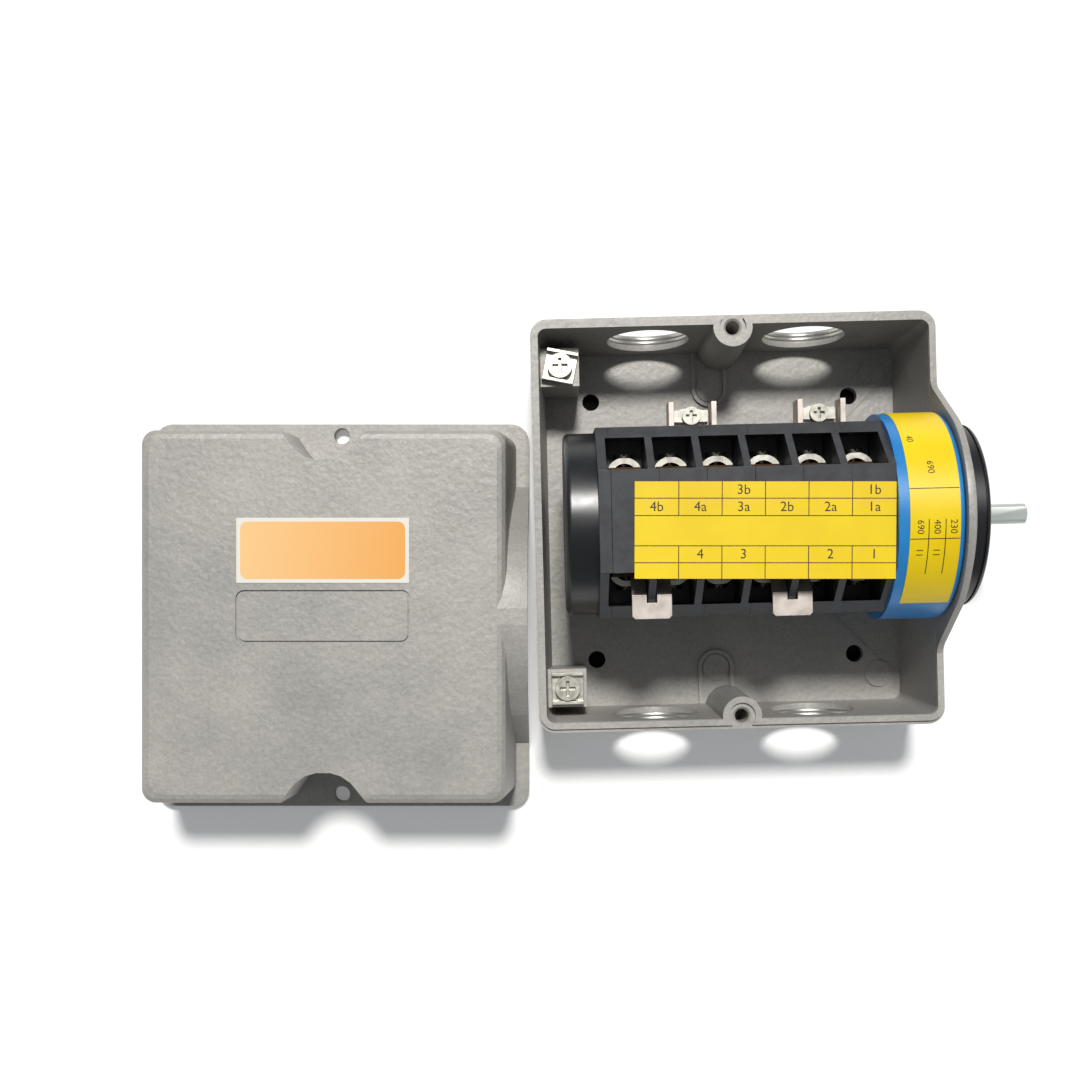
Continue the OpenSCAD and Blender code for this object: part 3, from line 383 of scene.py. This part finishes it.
# Print on the ring label: dark rules and plain numbers that run round the ring. It is drawn flat, then
# laid on the curve, and the numbers read towards the near side.
ring_print_r, figure_size = 36.32, 3.2
cross_from, cross_to, round_from, round_step, round_parts = 50.4, 66.7, 4.9, 2, 15
longest_edge = 2


def lay_on_ring(bm):
    for v in bm.verts:
        angle = v.co.y / (ring_print_r * mm)
        v.co = in_switch @ Vector((v.co.x, ring_print_r * mm * math.sin(angle),
                                   ring_print_r * mm * math.cos(angle)))


def round_by(angle):
    return -math.radians(angle - switch_roll) * ring_print_r


bm = bmesh.new()
for angle in (-11.2, 15.1):
    y = round_by(angle)
    add_bar(bm, cross_from, cross_to, y - rule / 2, y + rule / 2, Matrix.Identity(4))
for x in (56.4, 61.9):
    for part in range(round_parts):
        angle = round_from + part * round_step
        add_bar(bm, x - rule / 2, x + rule / 2, round_by(angle + round_step), round_by(angle),
                Matrix.Identity(4))
for x, angle, words in ((64.5, 8.9, "230"), (59.1, 8.9, "400"), (53.65, 8.9, "690"), (59.1, 22.5, "11"),
                        (53.6, 22.5, "11"), (58, -23, "690"), (53, -42, "40")):
    at = Matrix.Translation((x * mm, round_by(angle) * mm, 0))
    add_text(bm, words, figure_size, at @ Matrix.Rotation(math.radians(-90), 4, "Z"))
bmesh.ops.subdivide_edges(bm, edges=[e for e in bm.edges if e.calc_length() > longest_edge * mm],
                          cuts=1)
lay_on_ring(bm)
mesh = bpy.data.meshes.new("ring_print")
bm.to_mesh(mesh)
bm.free()
ring_print = piece("ring_print", mesh)
paint(ring_print, label_ink)
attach(ring_print, "base")


# Label on the cover: a white film with an orange panel printed on it. The panel is plain, a little paler
# at its rear end, and its corners are round.
white_film = bpy.data.materials.new("white_film")
white_film.use_nodes = True
shader = white_film.node_tree.nodes["Principled BSDF"]
shader.inputs["Base Color"].default_value = linear("#E9E4DA")
shader.inputs["Roughness"].default_value = 0.4
paint(nodes["cover_label"], white_film)
orange_ink = bpy.data.materials.new("orange_ink")
orange_ink.use_nodes = True
tree = orange_ink.node_tree
shader = tree.nodes["Principled BSDF"]
place = add(tree, "TexCoord", {}).outputs["Object"]
across = add(tree, "SeparateXYZ", {"Vector": place})
panel_from, panel_to = -178, -119
part_way = add(tree, "MapRange", {"Value": across.outputs["X"], "From Min": panel_from * mm,
                                  "From Max": panel_to * mm})
tone = add(tree, "ValToRGB", {"Fac": part_way.outputs["Result"]})
tone.color_ramp.elements[0].color = linear("#F6C888")
tone.color_ramp.elements[1].color = linear("#F0A94E")
tree.links.new(tone.outputs["Color"], shader.inputs["Base Color"])
shader.inputs["Roughness"].default_value = 0.4
cover_x, cover_y = -148.5, -30.3
panel_len, panel_wid, panel_r, panel_y, panel_z = 58.6, 20.4, 2.6, 23.5, 48.67
in_cover = Matrix.Translation((cover_x * mm, cover_y * mm, 0)) @ Matrix.Rotation(photo_turn, 4, "Z")
bm = bmesh.new()
bmesh.ops.create_grid(bm, x_segments=1, y_segments=1, size=0.5)
bmesh.ops.scale(bm, vec=(panel_len * mm, panel_wid * mm, 1), verts=bm.verts)
bmesh.ops.bevel(bm, geom=bm.verts[:], offset=panel_r * mm, affect="VERTICES", segments=6,
                profile=0.5, material=-1)
bmesh.ops.translate(bm, vec=(0, panel_y * mm, panel_z * mm), verts=bm.verts)
bmesh.ops.transform(bm, matrix=in_cover, verts=bm.verts)
mesh = bpy.data.meshes.new("rating_panel")
bm.to_mesh(mesh)
bm.free()
rating_panel = piece("rating_panel", mesh)
paint(rating_panel, orange_ink)
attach(rating_panel, "cover")


# Saddles and screws of the earth, the brackets and the terminals: mild steel with bright zinc plate,
# pressed or turned. The plate gives a clear, slightly warm mirror with fine wear.
zinc_plate = bpy.data.materials.new("bright_zinc")
zinc_plate.use_nodes = True
tree = zinc_plate.node_tree
shader = tree.nodes["Principled BSDF"]
place = add(tree, "TexCoord", {}).outputs["Object"]
wear = add(tree, "TexNoise", {"Vector": place, "Scale": 320, "Detail": 4})
tone = add(tree, "ValToRGB", {"Fac": wear.outputs["Fac"]})
tone.color_ramp.elements[0].position = 0.3
tone.color_ramp.elements[0].color = linear("#A9A69C")
tone.color_ramp.elements[1].position = 0.7
tone.color_ramp.elements[1].color = linear("#CFCCC3")
tree.links.new(tone.outputs["Color"], shader.inputs["Base Color"])
shader.inputs["Metallic"].default_value = 1.0
dull = add(tree, "MapRange", {"Value": wear.outputs["Fac"], "To Min": 0.3, "To Max": 0.52})
tree.links.new(dull.outputs["Result"], shader.inputs["Roughness"])
for name in ("earth_saddles", "earth_screws", "bracket_saddles", "bracket_screws",
             "top_terminal_saddles", "bottom_terminal_saddles"):
    soften(nodes[name], 0.15 * mm)
    paint(nodes[name], zinc_plate)


# Link clips and link brackets: punched from strip that was tin plated before, so they are matt and
# a little pinkish, and they have no mirror at all.
dull_tin = bpy.data.materials.new("dull_tin_plate")
dull_tin.use_nodes = True
tree = dull_tin.node_tree
shader = tree.nodes["Principled BSDF"]
place = add(tree, "TexCoord", {}).outputs["Object"]
blotch = add(tree, "TexNoise", {"Vector": place, "Scale": 210, "Detail": 4})
tone = add(tree, "ValToRGB", {"Fac": blotch.outputs["Fac"]})
tone.color_ramp.elements[0].position = 0.3
tone.color_ramp.elements[0].color = linear("#B8AFA8")
tone.color_ramp.elements[1].position = 0.7
tone.color_ramp.elements[1].color = linear("#DAD0C8")
tree.links.new(tone.outputs["Color"], shader.inputs["Base Color"])
shader.inputs["Metallic"].default_value = 0.9
dull = add(tree, "MapRange", {"Value": blotch.outputs["Fac"], "To Min": 0.44, "To Max": 0.6})
tree.links.new(dull.outputs["Result"], shader.inputs["Roughness"])
for name in ("link_clips", "link_brackets"):
    soften(nodes[name], 0.15 * mm)
    paint(nodes[name], dull_tin)


# Terminal screws, tie screws, disc screws, rollers, washer and springs: plain steel, turned or wound,
# darker than the plated parts and slightly oily.
plain_steel = bpy.data.materials.new("turned_steel")
plain_steel.use_nodes = True
tree = plain_steel.node_tree
shader = tree.nodes["Principled BSDF"]
place = add(tree, "TexCoord", {}).outputs["Object"]
stain = add(tree, "TexNoise", {"Vector": place, "Scale": 400, "Detail": 3})
tone = add(tree, "ValToRGB", {"Fac": stain.outputs["Fac"]})
tone.color_ramp.elements[0].color = linear("#45403A")
tone.color_ramp.elements[1].color = linear("#77716A")
tree.links.new(tone.outputs["Color"], shader.inputs["Base Color"])
shader.inputs["Metallic"].default_value = 1.0
shader.inputs["Roughness"].default_value = 0.34
for name in ("top_terminal_screws", "bottom_terminal_screws", "tie_screws", "disc_screws",
             "index_rollers", "index_springs", "end_washer", "end_screw", "top_springs",
             "bottom_springs"):
    paint(nodes[name], plain_steel)


# Return springs of the plungers: wound from spring wire, one on each contact bridge. Each stands between
# its bridge and the stage's roof.
spring_foot, spring_roof, coil_r, wire_r, coils, steps = 23.8, 31, 3.35, 0.42, 4, 24
first_window, stage_pitch, stages = -41.25, 15.8, 6
for name, body, side in (("top_springs", "top_contacts", 1), ("bottom_springs", "bottom_contacts", -1)):
    bm = bmesh.new()
    climb = spring_roof - spring_foot - 2 * wire_r
    for k in range(stages):
        x = first_window + k * stage_pitch
        at = Matrix.Translation(((x + coil_r) * mm, 0, (spring_foot + wire_r) * mm))
        ring = bmesh.ops.create_circle(bm, segments=8, radius=wire_r * mm,
                                       matrix=at @ Matrix.Rotation(math.radians(90), 4, "X"))["verts"]
        edges = list({e for v in ring for e in v.link_edges})
        bmesh.ops.spin(bm, geom=ring + edges, cent=(x * mm, 0, 0), axis=(0, 0, 1),
                       dvec=(0, 0, climb / (coils * steps) * mm), angle=coils * math.tau,
                       steps=coils * steps, use_merge=False)
    bmesh.ops.holes_fill(bm, edges=[e for e in bm.edges if e.is_boundary], sides=8)
    bmesh.ops.transform(bm, verts=bm.verts, matrix=in_switch @ Matrix.Diagonal((1, 1, side, 1)))
    bmesh.ops.recalc_face_normals(bm, faces=bm.faces)
    mesh = bpy.data.meshes.new(name + "_wound")
    bm.to_mesh(mesh)
    bm.free()
    mesh.shade_smooth()
    wound = piece(name + "_wound", mesh)
    paint(wound, plain_steel)
    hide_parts(name)
    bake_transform(wound)


# Operating shaft: square steel bar, drawn and zinc plated, so its flats are pale and satin with faint
# lines along the bar.
drawn_zinc = bpy.data.materials.new("drawn_zinc_bar")
drawn_zinc.use_nodes = True
tree = drawn_zinc.node_tree
shader = tree.nodes["Principled BSDF"]
place = add(tree, "TexCoord", {}).outputs["Object"]
along = add(tree, "Mapping", {"Vector": place, "Scale": (60, 1800, 1800)})
lines = add(tree, "TexNoise", {"Vector": along.outputs["Vector"], "Scale": 1, "Detail": 3})
tone = add(tree, "ValToRGB", {"Fac": lines.outputs["Fac"]})
tone.color_ramp.elements[0].color = linear("#D8E0D6")
tone.color_ramp.elements[1].color = linear("#F4F9F3")
tree.links.new(tone.outputs["Color"], shader.inputs["Base Color"])
shader.inputs["Metallic"].default_value = 0.85
shader.inputs["Roughness"].default_value = 0.34
soften(nodes["drive_shaft"], 0.2 * mm)
paint(nodes["drive_shaft"], drawn_zinc)


# Contacts and bridges: brass strip, tarnished to a warm brown and darkened further as painted shade,
# so that it stays dark between the pale saddles.
brass = bpy.data.materials.new("brass_strip_painted_shade")
brass.use_nodes = True
tree = brass.node_tree
shader = tree.nodes["Principled BSDF"]
place = add(tree, "TexCoord", {}).outputs["Object"]
tarnish_and_shade = add(tree, "TexNoise", {"Vector": place, "Scale": 240, "Detail": 3})
# Partly real tarnish, partly painted shade: the ramp runs through dark browns far below bright brass.
tone = add(tree, "ValToRGB", {"Fac": tarnish_and_shade.outputs["Fac"]})
tone.color_ramp.elements[0].color = linear("#2E2018")
tone.color_ramp.elements[1].color = linear("#57402B")
tree.links.new(tone.outputs["Color"], shader.inputs["Base Color"])
shader.inputs["Metallic"].default_value = 1.0
shader.inputs["Roughness"].default_value = 0.35
for name in ("top_fixed_contacts", "bottom_fixed_contacts", "top_bridges", "bottom_bridges"):
    paint(nodes[name], brass)


# Cams, index star and plungers: injection-moulded acetal resin, ivory for the cams and red-brown for the
# plungers. It is smooth and slightly waxy.
for slot_name, colour, names in (
        ("cam_moulding", "#D5CDB4", ["cam_%d" % k for k in range(1, 7)] + ["index_star"]),
        ("plunger_moulding", "#A8452F", ["top_plungers", "bottom_plungers"])):
    resin = bpy.data.materials.new("acetal_" + slot_name)
    resin.use_nodes = True
    shader = resin.node_tree.nodes["Principled BSDF"]
    shader.inputs["Base Color"].default_value = linear(colour)
    shader.inputs["IOR"].default_value = 1.48
    shader.inputs["Roughness"].default_value = 0.38
    for name in names:
        paint(nodes[name], resin)


# Seals and gaskets: black nitrile rubber, cut from sheet or moulded, and pressed between the castings
# and the switch. It is dull and a little dusty.
nitrile = bpy.data.materials.new("nitrile_rubber")
nitrile.use_nodes = True
shader = nitrile.node_tree.nodes["Principled BSDF"]
shader.inputs["Base Color"].default_value = linear("#2A2A2B")
shader.inputs["IOR"].default_value = 1.52
shader.inputs["Roughness"].default_value = 0.7
for name in ("neck_gasket", "shaft_seal", "cover_gasket"):
    paint(nodes[name], nitrile)
